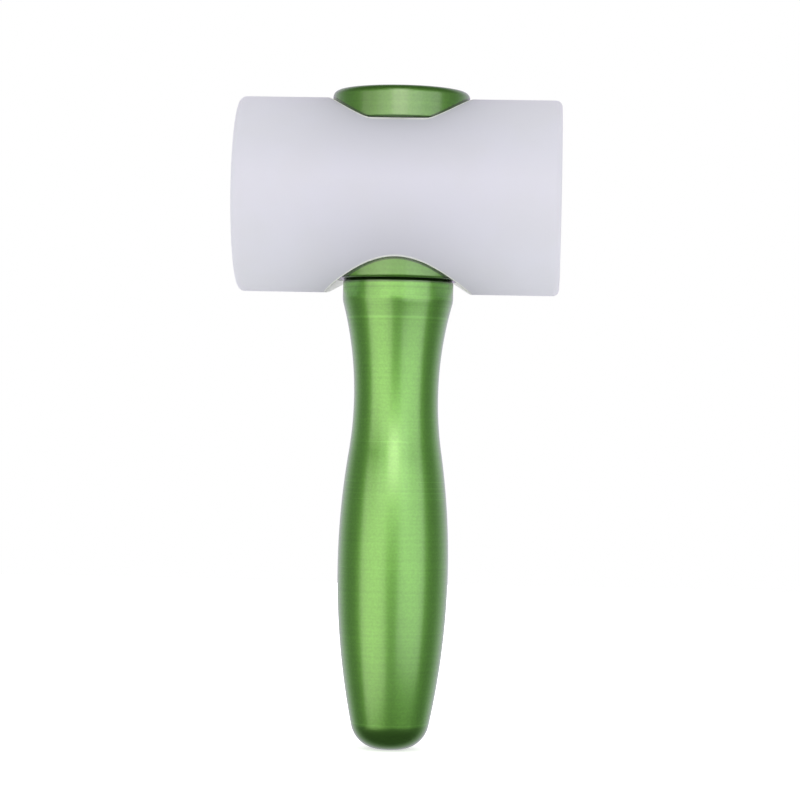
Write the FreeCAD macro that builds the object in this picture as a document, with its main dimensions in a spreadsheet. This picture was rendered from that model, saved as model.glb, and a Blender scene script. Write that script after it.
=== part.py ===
import FreeCAD, Part
import math
import os
import re
import Sketcher

# Leather carving mallet: a nylon cylinder head clamped between two anodised
# aluminium discs, on a turned aluminium handle. Millimetres, +Z up.
# The origin is the centre of the handle's butt. The head lies along X.

doc = FreeCAD.newDocument("carving_mallet")

# Driving dimensions
DIMENSIONS = [
    ("head_diameter", 60.0),
    ("head_length", 99.0),
    ("head_edge_radius", 2.0),
    ("upper_seat_width", 40.6),
    ("lower_wall_height", 4.0),
    ("pocket_clearance", 1.1),
    ("pocket_rim_break", 0.25),
    ("disc_diameter", 42.2),
    ("disc_height", 10.0),
    ("cap_edge_radius", 2.0),
    ("lower_edge_radius", 1.2),
    ("seat_boss_diameter", 32.0),
    ("seat_boss_height", 0.4),
    ("seat_undercut", 2.0),
    ("disc_back_chamfer", 0.8),
    ("grip_length", 144.0),
    ("handle_diameter", 34.0),
    ("collar_height", 6.2),
    ("collar_foot_rounding", 8.0),
    ("neck_diameter", 25.9),
    ("butt_radius", 9.2),
    ("shoulder_break", 0.5),
    ("core_diameter", 20.0),
    ("core_clearance", 0.1),
    ("core_edge_break", 0.6),
    ("spigot_length", 8.0),
    ("bolt_diameter", 8.0),
    ("bolt_length", 80.0),
    ("bolt_head_diameter", 13.0),
    ("bolt_head_height", 8.0),
    ("bolt_head_chamfer", 0.8),
    ("bolt_tip_chamfer", 1.2),
    ("bolt_recess", 0.5),
    ("bolt_hole_clearance", 0.2),
    ("bolt_hole_break", 0.4),
    ("thread_clearance", 0.02),
    ("tapped_hole_spare", 3.5),
    ("key_size", 6.0),
    ("key_depth", 4.2),
    ("washer_diameter", 15.0),
    ("washer_height", 1.6),
    ("washer_clearance", 0.2),
    ("lock_washer_diameter", 14.8),
    ("lock_washer_height", 2.0),
    ("lock_washer_gap", 1.6),
    ("cut_overrun", 2.0),
]

# Proportions: where the neck and the belly lie along the grip, how deep a drill's
# point goes for its radius, and how far the lock washer's split leans for its height
SHARES = [
    ("neck_height_share", 0.7514),
    ("belly_height_share", 0.3868),
    ("drill_point_share", 0.6),
    ("split_lean_share", 0.5),
]

# Radii, seats and heights that follow from the driving dimensions
DERIVED = [
    ("head_radius", "head_diameter / 2"),
    ("disc_radius", "disc_diameter / 2"),
    ("pocket_radius", "disc_radius + pocket_clearance"),
    ("upper_floor_level", "sqrt(head_radius ^ 2 - upper_seat_width ^ 2 / 4)"),
    ("upper_pocket_depth", "head_radius - upper_floor_level"),
    ("side_rim_level", "sqrt(head_radius ^ 2 - pocket_radius ^ 2)"),
    ("lower_floor_level", "lower_wall_height - side_rim_level"),
    ("lower_pocket_depth", "head_radius + lower_floor_level"),
    ("core_radius", "core_diameter / 2"),
    ("core_bore_radius", "core_radius + core_clearance"),
    ("bolt_radius", "bolt_diameter / 2"),
    ("bolt_hole_radius", "bolt_radius + bolt_hole_clearance"),
    ("tapped_radius", "bolt_radius + thread_clearance"),
    ("bolt_head_radius", "bolt_head_diameter / 2"),
    ("counterbore_radius", "washer_diameter / 2 + washer_clearance"),
    ("handle_radius", "handle_diameter / 2"),
    ("neck_radius", "neck_diameter / 2"),
    ("neck_height", "grip_length * neck_height_share"),
    ("belly_height", "grip_length * belly_height_share"),
    ("waist_depth", "handle_radius - neck_radius"),
    ("collar_foot", "grip_length - collar_height"),
    ("neck_rise", "collar_foot - neck_height"),
    ("neck_arc_radius", "(neck_rise ^ 2 + waist_depth ^ 2) / (2 * waist_depth)"),
    ("waist_rise", "neck_height - belly_height"),
    ("both_arc_radii", "(waist_rise ^ 2 + waist_depth ^ 2) / (2 * waist_depth)"),
    ("belly_arc_radius", "both_arc_radii - neck_arc_radius"),
    ("butt_drop", "belly_height - butt_radius"),
    ("butt_reach", "sqrt((belly_arc_radius - butt_radius) ^ 2 - butt_drop ^ 2)"),
    ("butt_flat_radius", "handle_radius - belly_arc_radius + butt_reach"),
    ("split_lean", "lock_washer_height * split_lean_share"),
    ("drill_point", "tapped_radius * drill_point_share"),
    ("lower_ceiling", "grip_length + disc_height"),
    ("head_axis", "lower_ceiling - lower_floor_level"),
    ("upper_floor", "head_axis + upper_floor_level"),
    ("cap_base", "upper_floor - spigot_length"),
    ("cap_height", "spigot_length + disc_height"),
    ("spacer_height", "cap_base - lower_ceiling"),
    ("bolt_seat", "upper_floor + disc_height - bolt_recess - bolt_head_height"),
    ("lock_washer_seat", "bolt_seat - lock_washer_height"),
    ("washer_seat", "lock_washer_seat - washer_height"),
    ("counterbore_floor", "washer_seat - cap_base"),
    ("bolt_tip", "bolt_seat - bolt_length"),
    ("bolt_top", "bolt_length + bolt_head_height"),
    ("tapped_bottom", "bolt_tip - tapped_hole_spare"),
]

# How near two lengths are, for the head's diameter, to count as the same
MATCH_SHARE = 0.0001

sheet = doc.addObject("Spreadsheet::Sheet", "sizes")
ROWS = [(alias, "%g" % value) for alias, value in DIMENSIONS + SHARES]
ROWS += [(alias, "=" + formula) for alias, formula in DERIVED]
for row, (alias, content) in enumerate(ROWS, start=1):
    sheet.set("A%d" % row, alias)
    sheet.set("B%d" % row, content)
    sheet.setAlias("B%d" % row, alias)
doc.recompute()

NAMES = [alias for alias, content in ROWS]


# Values and bindings
def number(expression):
    """The value of an expression written in the sheet's names."""
    return float(sheet.evalExpression(expression))


def bound(expression):
    """The same expression, as any other object has to write it."""

    def with_sheet(found):
        word = found.group(0)
        return "sizes." + word if word in NAMES else word

    return re.sub("[a-z_]+", with_sheet, expression)


def is_near(value, expression):
    """Whether a measured length equals an expression."""
    return abs(value - number(expression)) < number("head_diameter") * MATCH_SHARE


# Bodies and sketches
def new_body(label, height):
    """A body whose own zero level stands at a height above the butt."""
    body = doc.addObject("PartDesign::Body", label)
    body.Label = label
    body.setExpression("Placement.Base.z", bound(height))
    return body


def new_sketch(body, name, role, offset="0"):
    """A sketch on one of the body's own planes, or a distance off it."""
    sketch = body.newObject("Sketcher::SketchObject", name)
    planes = [plane for plane in body.Origin.OriginFeatures if plane.Role == role]
    sketch.AttachmentSupport = [(planes[0], "")]
    sketch.MapMode = "FlatFace"
    sketch.setExpression("AttachmentOffset.Base.z", bound(offset))
    return sketch


def dimension(sketch, kind, where, expression):
    """Add one dimension to a sketch and bind it to the sheet."""
    value = number(expression)
    held = sketch.addConstraint(Sketcher.Constraint(kind, *where, value))
    sketch.setExpression("Constraints[%d]" % held, bound(expression))


def place_point(sketch, curve, end, across, up):
    """Hold the end of a curve at two distances from the sketch's origin."""
    for kind, axis, expression in (("DistanceX", -2, across), ("DistanceY", -1, up)):
        if expression == "0":
            sketch.addConstraint(Sketcher.Constraint("PointOnObject", curve, end, axis))
        else:
            dimension(sketch, kind, (-1, 1, curve, end), expression)


def corner_vector(corner):
    across, up = corner
    return FreeCAD.Vector(number(across), number(up), 0)


def straight_outline(sketch, corners):
    """A closed outline of straight lines through corners given as expressions."""
    count = len(corners)
    for index in range(count):
        start = corner_vector(corners[index])
        stop = corner_vector(corners[(index + 1) % count])
        sketch.addGeometry(Part.LineSegment(start, stop), False)
    for index in range(count):
        following = (index + 1) % count
        sketch.addConstraint(Sketcher.Constraint("Coincident", index, 2, following, 1))
    for index, (across, up) in enumerate(corners):
        place_point(sketch, index, 1, across, up)


def circle_outline(sketch, radius):
    """A circle about the sketch's origin."""
    normal = FreeCAD.Vector(0, 0, 1)
    sketch.addGeometry(Part.Circle(FreeCAD.Vector(), normal, number(radius)), False)
    sketch.addConstraint(Sketcher.Constraint("Coincident", 0, 3, -1, 1))
    dimension(sketch, "Radius", (0,), radius)


def arc(centre, radius, start, stop):
    """An arc of a circle about a centre, between two turns in radians."""
    whole = Part.Circle(centre, FreeCAD.Vector(0, 0, 1), number(radius))
    return Part.ArcOfCircle(whole, start, stop)


# Features
def turn(body, sketch, kind, name):
    """Turn a sketch all round its own upright axis, as metal added or cut away."""
    feature = body.newObject(kind, name)
    feature.Profile = sketch
    feature.ReferenceAxis = (sketch, ["V_Axis"])
    doc.recompute()
    return feature


def turned_body(label, height, corners):
    """A body turned from one outline of straight lines."""
    body = new_body(label, height)
    sketch = new_sketch(body, label + "_outline", "XZ_Plane")
    straight_outline(sketch, corners)
    turn(body, sketch, "PartDesign::Revolution", label + "_turning")
    return body


def sink(body, sketch, name, depth, upwards):
    """Cut a sketch into a body to a depth, and make sure that it does cut."""
    before = body.Tip.Shape.Volume
    pocket = body.newObject("PartDesign::Pocket", name)
    pocket.Profile = sketch
    pocket.Reversed = upwards
    pocket.setExpression("Length", bound(depth))
    doc.recompute()
    if pocket.Shape.Volume >= before:
        raise RuntimeError(name + " cuts nothing")


def dress(body, kind, name, size, is_wanted):
    """Round or chamfer each edge of a body that passes a test."""
    base = body.Tip
    edges = enumerate(base.Shape.Edges, start=1)
    picked = ["Edge%d" % index for index, edge in edges if is_wanted(edge)]
    if not picked:
        raise RuntimeError(name + " finds no edge")
    feature = body.newObject(kind, name)
    feature.Base = (base, picked)
    length = "Radius" if kind == "PartDesign::Fillet" else "Size"
    feature.setExpression(length, bound(size))
    doc.recompute()


def ring(*rings):
    """A test for circles about the upright axis, each a radius and a level."""

    def is_wanted(edge):
        if not isinstance(edge.Curve, Part.Circle):
            return False
        centre = edge.Curve.Center
        if not is_near(math.hypot(centre.x, centre.y), "0"):
            return False
        for radius, level in rings:
            if is_near(edge.Curve.Radius, radius) and is_near(centre.z, level):
                return True
        return False

    return is_wanted


# Handle: turned from bar, a straight collar eased into the waist, a belly, a rounded
# butt, and a tapped hole at the top
def make_handle():
    body = new_body("handle", "0")
    profile = new_sketch(body, "handle_profile", "XZ_Plane")
    neck_centre = corner_vector(("neck_radius + neck_arc_radius", "neck_height"))
    belly_centre = corner_vector(("handle_radius - belly_arc_radius", "belly_height"))
    butt_centre = corner_vector(("butt_flat_radius", "butt_radius"))
    collar_turn = math.asin(number("neck_rise / neck_arc_radius"))
    blend_turn = math.asin(number("waist_rise / both_arc_radii"))
    butt_turn = math.asin(number("butt_drop / (belly_arc_radius - butt_radius)"))
    neck_arc = arc(neck_centre, "neck_arc_radius", math.pi - collar_turn, math.pi + blend_turn)
    belly_arc = arc(belly_centre, "belly_arc_radius", -butt_turn, blend_turn)
    butt_arc = arc(butt_centre, "butt_radius", -math.pi / 2, -butt_turn)
    axis_foot = corner_vector(("0", "0"))
    axis_top = corner_vector(("0", "grip_length"))
    shoulder = corner_vector(("handle_radius", "grip_length"))

    curves = {
        "axis": Part.LineSegment(axis_foot, axis_top),
        "top": Part.LineSegment(axis_top, shoulder),
        "collar": Part.LineSegment(shoulder, neck_arc.StartPoint),
        "neck": neck_arc,
        "belly": belly_arc,
        "butt": butt_arc,
        "flat": Part.LineSegment(butt_arc.StartPoint, axis_foot),
    }
    for curve in curves.values():
        profile.addGeometry(curve, False)
    axis, top, collar, neck, belly, butt, flat = range(len(curves))
    for before, after in ((axis, top), (top, collar), (collar, neck), (flat, axis)):
        profile.addConstraint(Sketcher.Constraint("Coincident", before, 2, after, 1))
    profile.addConstraint(Sketcher.Constraint("Tangent", neck, 2, belly, 2))
    profile.addConstraint(Sketcher.Constraint("Tangent", belly, 1, butt, 2))
    profile.addConstraint(Sketcher.Constraint("Tangent", butt, 1, flat, 1))
    profile.addConstraint(Sketcher.Constraint("Vertical", collar))
    profile.addConstraint(Sketcher.Constraint("Horizontal", flat))
    place_point(profile, axis, 1, "0", "0")
    place_point(profile, axis, 2, "0", "grip_length")
    place_point(profile, top, 2, "handle_radius", "grip_length")
    place_point(profile, neck, 3, "neck_radius + neck_arc_radius", "neck_height")
    dimension(profile, "Radius", (neck,), "neck_arc_radius")
    dimension(profile, "DistanceY", (-1, 1, belly, 3), "belly_height")
    dimension(profile, "Radius", (belly,), "belly_arc_radius")
    dimension(profile, "Radius", (butt,), "butt_radius")
    turn(body, profile, "PartDesign::Revolution", "handle_turning")

    hole = new_sketch(body, "tapped_hole_outline", "XZ_Plane")
    straight_outline(hole, [
        ("0", "tapped_bottom - drill_point"),
        ("tapped_radius", "tapped_bottom"),
        ("tapped_radius", "grip_length + cut_overrun"),
        ("0", "grip_length + cut_overrun"),
    ])
    turn(body, hole, "PartDesign::Groove", "tapped_hole")

    foot = ring(("handle_radius", "collar_foot"))
    dress(body, "PartDesign::Fillet", "collar_rounding", "collar_foot_rounding", foot)
    shoulder_edge = ring(("handle_radius", "grip_length"))
    dress(body, "PartDesign::Chamfer", "shoulder_chamfer", "shoulder_break", shoulder_edge)
    mouth = ring(("tapped_radius", "grip_length"))
    dress(body, "PartDesign::Chamfer", "tapped_mouth", "bolt_hole_break", mouth)
    return body


# Lower disc: stands on the handle's top with a low boss, undercut so that a narrow
# groove is left round the joint, and carries the head
def make_lower_disc():
    body = turned_body("lower_disc", "grip_length", [
        ("bolt_hole_radius", "0"),
        ("seat_boss_diameter / 2", "0"),
        ("seat_boss_diameter / 2 - seat_undercut", "seat_boss_height"),
        ("disc_radius", "seat_boss_height"),
        ("disc_radius", "disc_height"),
        ("bolt_hole_radius", "disc_height"),
    ])
    front = ring(("disc_radius", "seat_boss_height"))
    dress(body, "PartDesign::Fillet", "lower_rounding", "lower_edge_radius", front)
    back = ring(("disc_radius", "disc_height"))
    dress(body, "PartDesign::Chamfer", "seat_chamfer", "disc_back_chamfer", back)
    mouths = ring(("bolt_hole_radius", "0"), ("bolt_hole_radius", "disc_height"))
    dress(body, "PartDesign::Chamfer", "hole_breaks", "bolt_hole_break", mouths)
    return body


# Head: a nylon bar along X, bored across, with a round pocket above and below.
# The upper one goes as deep as its flat floor is wide from open side to open side,
# the lower one keeps a wall all round that is lowest at the bar's sides.
def make_head():
    body = new_body("head", "head_axis")
    bar = new_sketch(body, "head_section", "YZ_Plane")
    circle_outline(bar, "head_radius")
    pad = body.newObject("PartDesign::Pad", "head_bar")
    pad.Profile = bar
    pad.SideType = "Symmetric"
    pad.setExpression("Length", bound("head_length"))
    doc.recompute()

    def is_end_edge(edge):
        centre = edge.Curve.Center if isinstance(edge.Curve, Part.Circle) else None
        return centre is not None and is_near(abs(centre.x), "head_length / 2")

    dress(body, "PartDesign::Fillet", "striking_edges", "head_edge_radius", is_end_edge)

    upper = new_sketch(body, "upper_pocket_circle", "XY_Plane", "upper_floor_level")
    circle_outline(upper, "pocket_radius")
    sink(body, upper, "upper_pocket", "upper_pocket_depth + cut_overrun", True)
    lower = new_sketch(body, "lower_pocket_circle", "XY_Plane", "lower_floor_level")
    circle_outline(lower, "pocket_radius")
    sink(body, lower, "lower_pocket", "lower_pocket_depth + cut_overrun", False)
    bore = new_sketch(body, "core_bore_circle", "XY_Plane", "upper_floor_level")
    circle_outline(bore, "core_bore_radius")
    sink(body, bore, "core_bore", "upper_floor - lower_ceiling", False)

    def is_rim(edge):
        """Whether an edge lies where a pocket's wall meets the bar."""
        if isinstance(edge.Curve, (Part.Circle, Part.Line)):
            return False
        wide = [math.hypot(end.Point.x, end.Point.y) for end in edge.Vertexes]
        return all(is_near(reach, "pocket_radius") for reach in wide)

    def is_lower_rim(edge):
        return is_rim(edge) and edge.CenterOfMass.z < 0

    def is_upper_rim(edge):
        return is_rim(edge) and edge.CenterOfMass.z > 0

    dress(body, "PartDesign::Chamfer", "lower_rim_break", "pocket_rim_break", is_lower_rim)
    dress(body, "PartDesign::Chamfer", "upper_rim_break", "pocket_rim_break", is_upper_rim)
    return body


# Core spacer: keeps the two discs apart so that the nylon isn't crushed
def make_core_spacer():
    body = turned_body("core_spacer", "lower_ceiling", [
        ("bolt_hole_radius", "0"),
        ("core_radius", "0"),
        ("core_radius", "spacer_height"),
        ("bolt_hole_radius", "spacer_height"),
    ])
    ends = ring(("core_radius", "0"), ("core_radius", "spacer_height"))
    dress(body, "PartDesign::Chamfer", "end_chamfers", "core_edge_break", ends)
    mouths = ring(("bolt_hole_radius", "0"), ("bolt_hole_radius", "spacer_height"))
    dress(body, "PartDesign::Chamfer", "hole_breaks", "bolt_hole_break", mouths)
    return body


# Top cap: a disc with a spigot in the head's bore and a counterbore for the bolt
def make_top_cap():
    body = turned_body("top_cap", "cap_base", [
        ("bolt_hole_radius", "0"),
        ("core_radius", "0"),
        ("core_radius", "spigot_length"),
        ("disc_radius", "spigot_length"),
        ("disc_radius", "cap_height"),
        ("counterbore_radius", "cap_height"),
        ("counterbore_radius", "counterbore_floor"),
        ("bolt_hole_radius", "counterbore_floor"),
    ])
    top_edge = ring(("disc_radius", "cap_height"))
    dress(body, "PartDesign::Fillet", "top_rounding", "cap_edge_radius", top_edge)
    back = ring(("disc_radius", "spigot_length"))
    dress(body, "PartDesign::Chamfer", "seat_chamfer", "disc_back_chamfer", back)
    spigot_end = ring(("core_radius", "0"))
    dress(body, "PartDesign::Chamfer", "spigot_chamfer", "core_edge_break", spigot_end)
    mouth = ring(("counterbore_radius", "cap_height"))
    dress(body, "PartDesign::Chamfer", "counterbore_mouth", "bolt_hole_break", mouth)
    return body


# Washers: a plain one on the counterbore's floor, a split spring one above it
def make_flat_washer():
    return turned_body("flat_washer", "washer_seat", [
        ("bolt_hole_radius", "0"),
        ("washer_diameter / 2", "0"),
        ("washer_diameter / 2", "washer_height"),
        ("bolt_hole_radius", "washer_height"),
    ])


def make_lock_washer():
    body = turned_body("lock_washer", "lock_washer_seat", [
        ("bolt_hole_radius", "0"),
        ("lock_washer_diameter / 2", "0"),
        ("lock_washer_diameter / 2", "lock_washer_height"),
        ("bolt_hole_radius", "lock_washer_height"),
    ])
    split = new_sketch(body, "split_outline", "XZ_Plane")
    straight_outline(split, [
        ("0 - lock_washer_gap / 2 - split_lean", "0"),
        ("lock_washer_gap / 2 - split_lean", "0"),
        ("lock_washer_gap / 2 + split_lean", "lock_washer_height"),
        ("0 - lock_washer_gap / 2 + split_lean", "lock_washer_height"),
    ])
    sink(body, split, "split", "lock_washer_diameter / 2 + cut_overrun", False)
    return body


# Clamp bolt: a socket-head cap screw through cap, head and disc into the handle
def make_clamp_bolt():
    body = turned_body("clamp_bolt", "bolt_tip", [
        ("0", "0"),
        ("bolt_radius - bolt_tip_chamfer", "0"),
        ("bolt_radius", "bolt_tip_chamfer"),
        ("bolt_radius", "bolt_length"),
        ("bolt_head_radius", "bolt_length"),
        ("bolt_head_radius", "bolt_top"),
        ("0", "bolt_top"),
    ])
    head_edge = ring(("bolt_head_radius", "bolt_top"))
    dress(body, "PartDesign::Chamfer", "head_chamfer", "bolt_head_chamfer", head_edge)
    key = new_sketch(body, "key_outline", "XY_Plane", "bolt_top")
    point = "key_size / sqrt(3)"
    half_point = "key_size / sqrt(12)"
    half = "key_size / 2"
    straight_outline(key, [
        (point, "0"),
        (half_point, half),
        ("0 - " + half_point, half),
        ("0 - " + point, "0"),
        ("0 - " + half_point, "0 - " + half),
        (half_point, "0 - " + half),
    ])
    sink(body, key, "key_socket", "key_depth", False)
    return body


# Every piece, from the butt upwards
NODES = [
    make_handle(),
    make_lower_disc(),
    make_head(),
    make_core_spacer(),
    make_top_cap(),
    make_flat_washer(),
    make_lock_washer(),
    make_clamp_bolt(),
]
doc.recompute()

# Nothing is written unless every object is sound
for item in doc.Objects:
    if "Invalid" in item.State or "Error" in item.State:
        raise RuntimeError("%s is %s" % (item.Label, item.State))
for node in NODES:
    if node.Shape.isNull() or not node.Shape.isValid() or not node.Shape.Solids:
        raise RuntimeError("%s has no sound solid" % node.Label)

os.makedirs("parts", exist_ok=True)
for node in NODES:
    node.Shape.exportStep("parts/%s.step" % node.Label)
    solids = len(node.Shape.Solids)
    print("%s: solids %d, volume %.1f mm3" % (node.Label, solids, node.Shape.Volume))
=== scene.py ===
import bmesh
import bpy
import itertools
import math
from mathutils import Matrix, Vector


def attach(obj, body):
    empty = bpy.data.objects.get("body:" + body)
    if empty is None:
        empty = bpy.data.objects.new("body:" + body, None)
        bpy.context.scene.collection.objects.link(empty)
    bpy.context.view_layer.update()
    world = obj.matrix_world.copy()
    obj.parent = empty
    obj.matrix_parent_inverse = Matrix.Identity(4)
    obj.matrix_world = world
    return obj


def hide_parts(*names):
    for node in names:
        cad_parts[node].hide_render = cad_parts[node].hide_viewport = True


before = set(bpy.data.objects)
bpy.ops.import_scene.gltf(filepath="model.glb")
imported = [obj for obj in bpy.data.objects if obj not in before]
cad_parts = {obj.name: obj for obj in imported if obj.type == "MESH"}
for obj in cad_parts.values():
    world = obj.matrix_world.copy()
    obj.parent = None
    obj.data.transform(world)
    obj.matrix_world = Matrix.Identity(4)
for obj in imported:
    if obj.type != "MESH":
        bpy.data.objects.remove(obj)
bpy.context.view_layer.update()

# Sizes in millimetres, as the solids have them. The butt stands on the floor at 0.
MM = 0.001
HEAD_RADIUS = 30.0
HEAD_HALF_LENGTH = 49.5
HEAD_EDGE_RADIUS = 2.0
POCKET_RADIUS = 22.2
UPPER_SEAT_WIDTH = 40.6
LOWER_WALL_HEIGHT = 4.0
RIM_BREAK = 0.25
BORE_RADIUS = 10.1
DISC_RADIUS = 21.1
DISC_HEIGHT = 10.0
CAP_EDGE_RADIUS = 2.0
DISC_BACK_CHAMFER = 0.8
GRIP_LENGTH = 144.0
HANDLE_RADIUS = 17.0
COLLAR_HEIGHT = 6.2
COLLAR_ROUNDING = 8.0
NECK_RADIUS = 12.95
NECK_HEIGHT = GRIP_LENGTH * 0.7514
BELLY_HEIGHT = GRIP_LENGTH * 0.3868
BUTT_RADIUS = 9.2
SHOULDER_BREAK = 0.5
CORE_RADIUS = 10.0
SPIGOT_LENGTH = 8.0
SPIGOT_CHAMFER = 0.6
BOLT_HOLE_RADIUS = 4.2
TAPPED_RADIUS = 4.02
TAPPED_SPARE = 3.5
DRILL_POINT = 2.412
HOLE_BREAK = 0.4
COUNTERBORE_RADIUS = 7.7
COUNTERBORE_FLOOR = 5.9
BOLT_HEAD_RADIUS = 6.5
BOLT_HEAD_HEIGHT = 8.0
BOLT_HEAD_CHAMFER = 0.8
BOLT_LENGTH = 80.0
BOLT_RECESS = 0.5

# The lower disc's underside, for the look of the joint: each is within 1 mm of the solid's
LOWER_EDGE_RADIUS = 0.8
SEAT_BOSS_RADIUS = 16.8
SEAT_BOSS_HEIGHT = 0.25
SEAT_UNDERCUT = 1.2

# Heights that follow from the sizes
LOWER_CEILING = GRIP_LENGTH + DISC_HEIGHT
UPPER_FLOOR = math.sqrt(HEAD_RADIUS ** 2 - UPPER_SEAT_WIDTH ** 2 / 4)
LOWER_FLOOR = LOWER_WALL_HEIGHT - math.sqrt(HEAD_RADIUS ** 2 - POCKET_RADIUS ** 2)
HEAD_AXIS = LOWER_CEILING - LOWER_FLOOR
CAP_BASE = HEAD_AXIS + UPPER_FLOOR - SPIGOT_LENGTH
BOLT_SEAT = HEAD_AXIS + UPPER_FLOOR + DISC_HEIGHT - BOLT_RECESS - BOLT_HEAD_HEIGHT
TAPPED_BOTTOM = BOLT_SEAT - BOLT_LENGTH - TAPPED_SPARE

# The waist: the neck's arc meets the collar, and the belly's arc carries it on
WAIST_DEPTH = HANDLE_RADIUS - NECK_RADIUS
COLLAR_FOOT = GRIP_LENGTH - COLLAR_HEIGHT
NECK_RISE = COLLAR_FOOT - NECK_HEIGHT
NECK_ARC = (NECK_RISE ** 2 + WAIST_DEPTH ** 2) / (2 * WAIST_DEPTH)
WAIST_RISE = NECK_HEIGHT - BELLY_HEIGHT
BELLY_ARC = (WAIST_RISE ** 2 + WAIST_DEPTH ** 2) / (2 * WAIST_DEPTH) - NECK_ARC
BUTT_DROP = BELLY_HEIGHT - BUTT_RADIUS
BUTT_FLAT = HANDLE_RADIUS - BELLY_ARC + math.sqrt((BELLY_ARC - BUTT_RADIUS) ** 2 - BUTT_DROP ** 2)
BUTT_TOP = BUTT_RADIUS * (1 - BUTT_DROP / (BELLY_ARC - BUTT_RADIUS))
BLEND_HEIGHT = BELLY_HEIGHT + BELLY_ARC * WAIST_RISE / (BELLY_ARC + NECK_ARC)

# The collar's foot is rounded into the neck's arc
FOOT_REACH = NECK_RADIUS + NECK_ARC - HANDLE_RADIUS + COLLAR_ROUNDING
FOOT_RISE = math.sqrt((NECK_ARC + COLLAR_ROUNDING) ** 2 - FOOT_REACH ** 2)
FOOT_TOP = NECK_HEIGHT + FOOT_RISE
FOOT_TURN = math.degrees(math.atan2(-FOOT_RISE, FOOT_REACH))
FOOT_START = FOOT_TOP + COLLAR_ROUNDING * math.sin(math.radians(FOOT_TURN))

# How finely the meshes are made, and how far points may lie apart and still be one
DIVISIONS = 192
CREASE_ANGLE = 0.6
TURNED_MERGE = 0.002
HEAD_MERGE = 0.003
SLIVER = 0.001


# A bench for wiring node trees
class Bench:
    """Places nodes in one tree and wires them together."""

    def __init__(self, tree):
        self.tree = tree

    def feed(self, socket, value):
        """Wires a socket to another one, or sets it to a value."""
        if isinstance(value, bpy.types.NodeSocket):
            self.tree.links.new(value, socket)
        else:
            socket.default_value = value

    def add(self, kind, inputs=None, **settings):
        """A node with its settings made and its inputs fed."""
        node = self.tree.nodes.new(kind)
        for name, value in settings.items():
            setattr(node, name, value)
        for name, value in (inputs or {}).items():
            self.feed(node.inputs[name], value)
        return node

    def math(self, operation, *values, clamp=False):
        """One step of arithmetic."""
        inputs = dict(enumerate(values))
        return self.add("ShaderNodeMath", inputs, operation=operation, use_clamp=clamp).outputs[0]

    def long_side(self, first, second):
        """The long side of a right-angled triangle with these two short ones."""
        squares = [self.math("MULTIPLY", side, side) for side in (first, second)]
        return self.math("SQRT", self.math("ADD", *squares))

    def ramp(self, value, low, high, start=0.0, stop=1.0):
        """start below low, stop above high, and a smooth step between them."""
        inputs = {"Value": value, "From Min": low, "From Max": high, "To Min": start, "To Max": stop}
        return self.add("ShaderNodeMapRange", inputs, interpolation_type="SMOOTHSTEP").outputs[0]

    def mix(self, share, first, second):
        """A number between first, at a share of 0, and second, at 1."""
        return self.add("ShaderNodeMix", {0: share, 2: first, 3: second}).outputs[0]

    def blend(self, share, first, second):
        """A colour between first, at a share of 0, and second, at 1."""
        inputs = {0: share, 6: first, 7: second}
        return self.add("ShaderNodeMix", inputs, data_type="RGBA").outputs[2]

    def split(self, vector):
        """A vector's parts: X, Y and Z."""
        return self.add("ShaderNodeSeparateXYZ", {0: vector}).outputs

    def noise(self, place, scale, detail, roughness=0.5):
        """A cloudy noise, mostly between NOISE_LOW and NOISE_HIGH."""
        inputs = {"Vector": place, "Scale": scale, "Detail": detail, "Roughness": roughness}
        return self.add("ShaderNodeTexNoise", inputs).outputs[0]


def new_group(name, kind, inputs, outputs):
    """A node group with its named sockets, and its two ends."""
    group = bpy.data.node_groups.new(name, kind)
    for label, socket_type, value in inputs:
        socket = group.interface.new_socket(label, in_out="INPUT", socket_type=socket_type)
        if value is not None:
            socket.default_value = value
    for label, socket_type in outputs:
        group.interface.new_socket(label, in_out="OUTPUT", socket_type=socket_type)
    bench = Bench(group)
    return bench, bench.add("NodeGroupInput").outputs, bench.add("NodeGroupOutput").inputs


FLOAT = "NodeSocketFloat"
WHOLE = "NodeSocketInt"
VECTOR = "NodeSocketVector"
MESH = "NodeSocketGeometry"
MATERIAL = "NodeSocketMaterial"


# Shapes turned on the lathe
GRIP_SIZES = ["Butt Radius", "Butt Flat", "Butt Top", "Belly Height", "Belly Arc", "Belly Radius",
              "Blend Height", "Neck Height", "Neck Arc", "Neck Radius"]


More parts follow.
